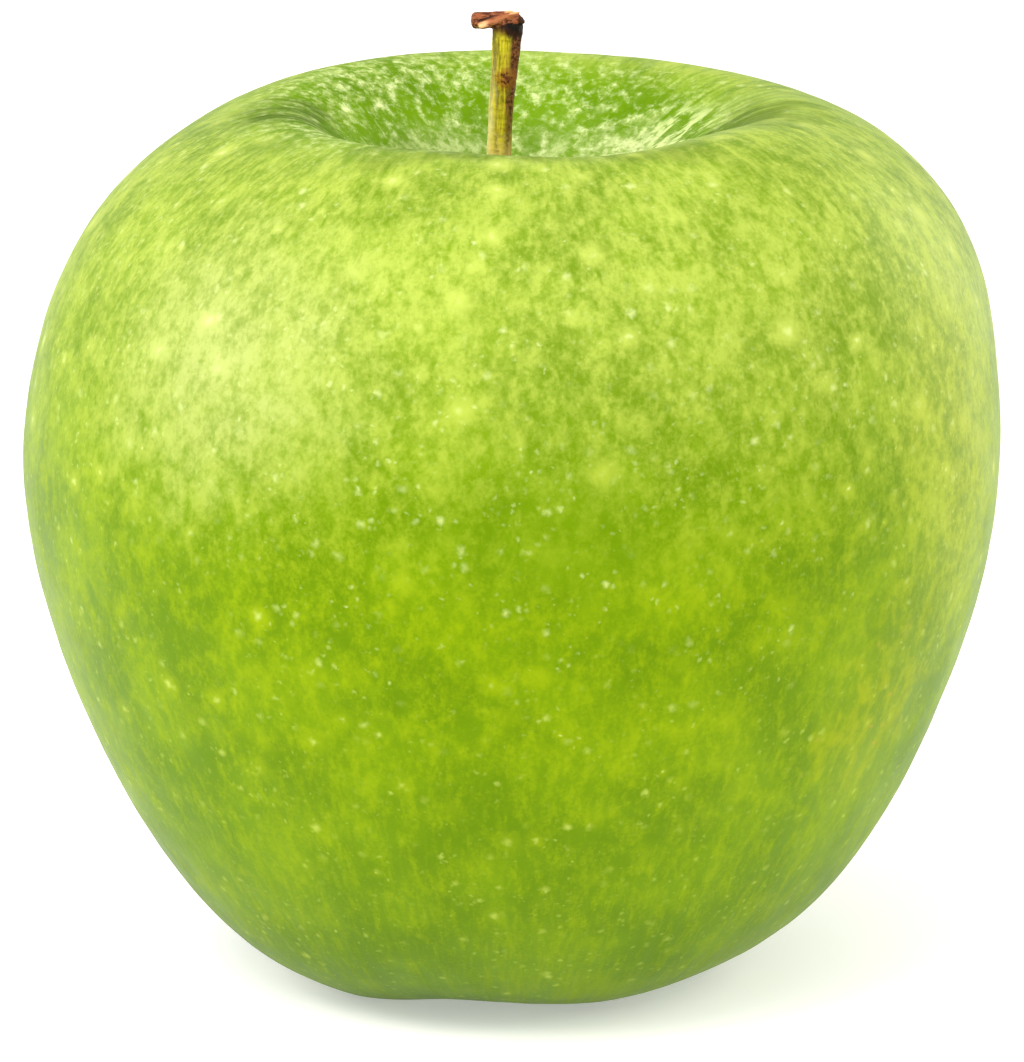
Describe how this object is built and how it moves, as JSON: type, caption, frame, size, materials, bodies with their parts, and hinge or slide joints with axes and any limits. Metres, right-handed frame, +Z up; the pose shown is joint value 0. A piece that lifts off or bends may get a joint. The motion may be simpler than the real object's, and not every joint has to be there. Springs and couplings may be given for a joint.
{
  "type": "apple",
  "caption": "Whole round green apple with a wide stem cavity, a woody stem with a torn knob, and a dried calyx in the basin underneath; stands upright on its base lobes.",
  "frame": {"origin": "on the surface the fruit stands on, under the middle of its outline", "axes": "+Z up along the core, +X to the right seen from the front, +Y to the back; the knob on the stem's tip points to -X"},
  "size_m": [0.08, 0.08, 0.08],
  "materials": {
    "skin": "satin",
    "stem_wood": "matte",
    "sepal": "matte",
    "stamens": "matte"
  },
  "bodies": {
    "root": {"fruit": "skin", "stem": "stem_wood", "sepal_1": "sepal", "sepal_2": "sepal", "sepal_3": "sepal", "sepal_4": "sepal", "sepal_5": "sepal", "stamen_tuft": "stamens"}
  },
  "joints": []
}
